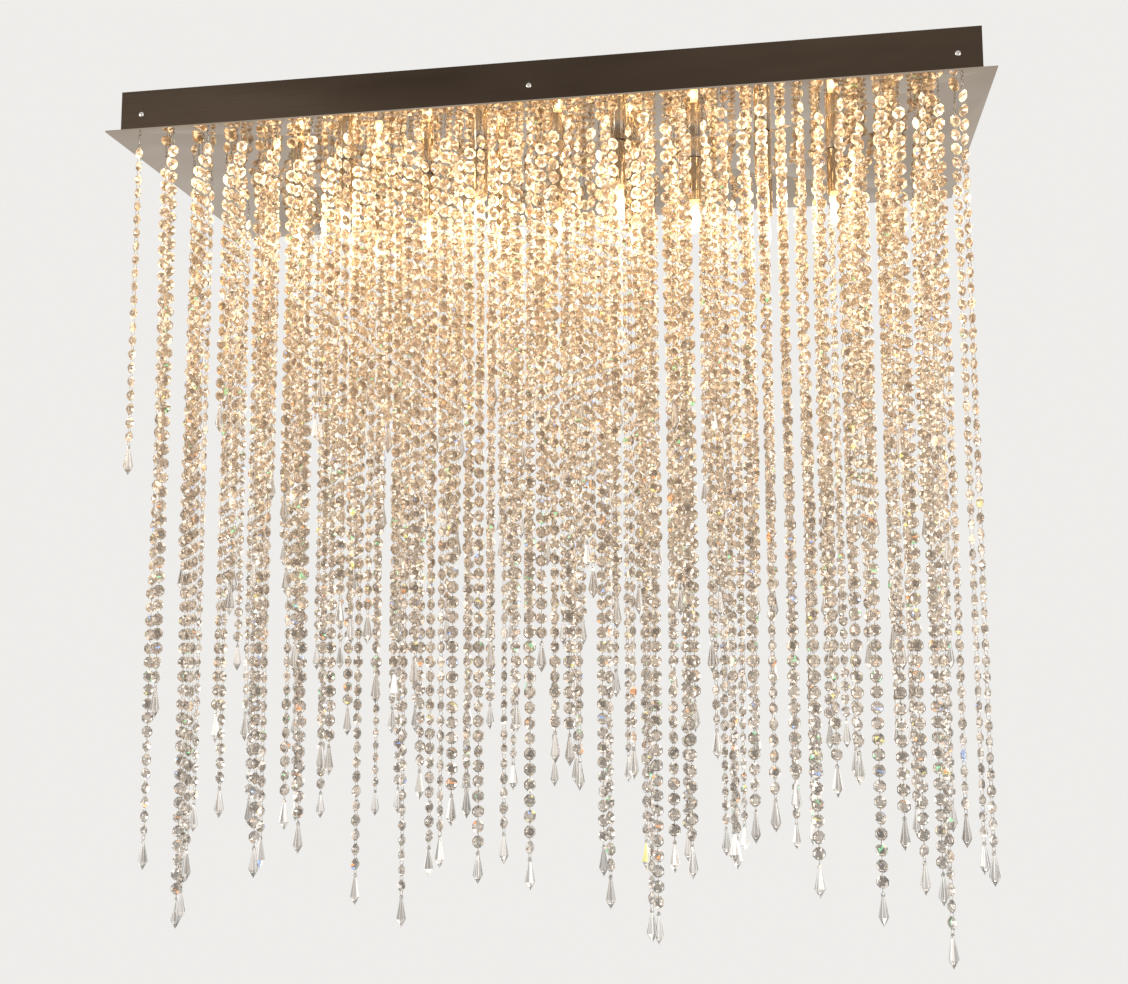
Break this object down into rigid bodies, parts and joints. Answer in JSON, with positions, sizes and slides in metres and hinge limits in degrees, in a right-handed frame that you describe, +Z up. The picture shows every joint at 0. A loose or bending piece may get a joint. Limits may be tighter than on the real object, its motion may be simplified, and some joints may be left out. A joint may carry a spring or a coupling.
{
  "type": "crystal chandelier",
  "caption": "Flush rectangular crystal chandelier: a brushed steel canopy box, a mirror plate with capsule lamps, and a dense curtain of faceted bead strands ending in icicle drops.",
  "frame": {"origin": "centre of the face that lies against the ceiling, on top of the middle cross bar", "axes": "+Z up into the ceiling, +X along the canopy box, -Y the front; the strands hang down -Z"},
  "size_m": [1.1, 0.45, 1.0627],
  "materials": {
    "brushed_steel": "brushed along its length, satin dark brown, with bright bent edges",
    "mirror_steel": "mirror polished, smoky brown",
    "zinc_steel": "zinc plated sheet",
    "bright_screws": "bright plated",
    "brass_nuts": "plain turned brass",
    "polished_holder": "polished, with a straw tint from the lamp heat",
    "socket_ceramic": "unglazed white",
    "lamp_glass": "clear capsule, lit warm white",
    "wire_sleeve": "heat-proof woven sleeve",
    "terminal_plastic": "moulded, slightly rough",
    "grommet_rubber": "matte",
    "crystal": "cut and polished lead-free crystal",
    "wire_chrome": "bright plated wire"
  },
  "bodies": {
    "canopy": {"canopy_box": "brushed_steel", "cord_grommet": "grommet_rubber", "cross_bar_left": "zinc_steel", "cross_bar_middle": "zinc_steel", "cross_bar_right": "zinc_steel", "earth_nut": "brass_nuts", "earth_stud": "bright_screws", "flange_screws": "bright_screws", "frame_rail_back": "zinc_steel", "frame_rail_front": "zinc_steel", "lamp_capsules_back": "lamp_glass", "lamp_capsules_front": "lamp_glass", "lamp_capsules_middle": "lamp_glass", "lamp_holders_back": "polished_holder", "lamp_holders_front": "polished_holder", "lamp_holders_middle": "polished_holder", "lamp_sockets_back": "socket_ceramic", "lamp_sockets_front": "socket_ceramic", "lamp_sockets_middle": "socket_ceramic", "lamp_wiring": "wire_sleeve", "mirror_plate": "mirror_steel", "side_screws": "bright_screws", "stem_nuts_back": "brass_nuts", "stem_nuts_front": "brass_nuts", "stem_nuts_middle": "brass_nuts", "terminal_block": "terminal_plastic", "terminal_screws": "brass_nuts"},
    "strands_01": {"strand_row_01": "crystal", "drop_row_01": "crystal", "corner_beads": "crystal", "corner_chain": "wire_chrome", "corner_links": "wire_chrome", "corner_drop": "crystal"},
    "strands_02": {"strand_row_02": "crystal", "drop_row_02": "crystal"},
    "strands_03": {"strand_row_03": "crystal", "drop_row_03": "crystal"},
    "strands_04": {"strand_row_04": "crystal", "drop_row_04": "crystal"},
    "strands_05": {"strand_row_05": "crystal", "drop_row_05": "crystal"},
    "strands_06": {"strand_row_06": "crystal", "drop_row_06": "crystal"},
    "strands_07": {"strand_row_07": "crystal", "drop_row_07": "crystal"},
    "strands_08": {"strand_row_08": "crystal", "drop_row_08": "crystal"},
    "strands_09": {"strand_row_09": "crystal", "drop_row_09": "crystal"},
    "strands_10": {"strand_row_10": "crystal", "drop_row_10": "crystal"}
  },
  "joints": [
    {"name": "sway_01", "type": "hinge", "parent": "canopy", "child": "strands_01", "pos_m": [0, -0.2046, -0.0584], "axis": [1, 0, 0], "range_deg": [-20, 20]},
    {"name": "sway_02", "type": "hinge", "parent": "canopy", "child": "strands_02", "pos_m": [0, -0.1674, -0.0584], "axis": [1, 0, 0], "range_deg": [-20, 20]},
    {"name": "sway_03", "type": "hinge", "parent": "canopy", "child": "strands_03", "pos_m": [0, -0.1302, -0.0584], "axis": [1, 0, 0], "range_deg": [-20, 20]},
    {"name": "sway_04", "type": "hinge", "parent": "canopy", "child": "strands_04", "pos_m": [0, -0.093, -0.0584], "axis": [1, 0, 0], "range_deg": [-20, 20]},
    {"name": "sway_05", "type": "hinge", "parent": "canopy", "child": "strands_05", "pos_m": [0, -0.0372, -0.0584], "axis": [1, 0, 0], "range_deg": [-20, 20]},
    {"name": "sway_06", "type": "hinge", "parent": "canopy", "child": "strands_06", "pos_m": [0, 0.0372, -0.0584], "axis": [1, 0, 0], "range_deg": [-20, 20]},
    {"name": "sway_07", "type": "hinge", "parent": "canopy", "child": "strands_07", "pos_m": [0, 0.093, -0.0584], "axis": [1, 0, 0], "range_deg": [-20, 20]},
    {"name": "sway_08", "type": "hinge", "parent": "canopy", "child": "strands_08", "pos_m": [0, 0.1302, -0.0584], "axis": [1, 0, 0], "range_deg": [-20, 20]},
    {"name": "sway_09", "type": "hinge", "parent": "canopy", "child": "strands_09", "pos_m": [0, 0.1674, -0.0584], "axis": [1, 0, 0], "range_deg": [-20, 20]},
    {"name": "sway_10", "type": "hinge", "parent": "canopy", "child": "strands_10", "pos_m": [0, 0.2046, -0.0584], "axis": [1, 0, 0], "range_deg": [-20, 20]}
  ],
  "couplings": [
    {"joint": "sway_02", "follows": "sway_01", "ratio": 1},
    {"joint": "sway_03", "follows": "sway_01", "ratio": 1},
    {"joint": "sway_04", "follows": "sway_01", "ratio": 1},
    {"joint": "sway_05", "follows": "sway_01", "ratio": 1},
    {"joint": "sway_06", "follows": "sway_01", "ratio": 1},
    {"joint": "sway_07", "follows": "sway_01", "ratio": 1},
    {"joint": "sway_08", "follows": "sway_01", "ratio": 1},
    {"joint": "sway_09", "follows": "sway_01", "ratio": 1},
    {"joint": "sway_10", "follows": "sway_01", "ratio": 1}
  ]
}
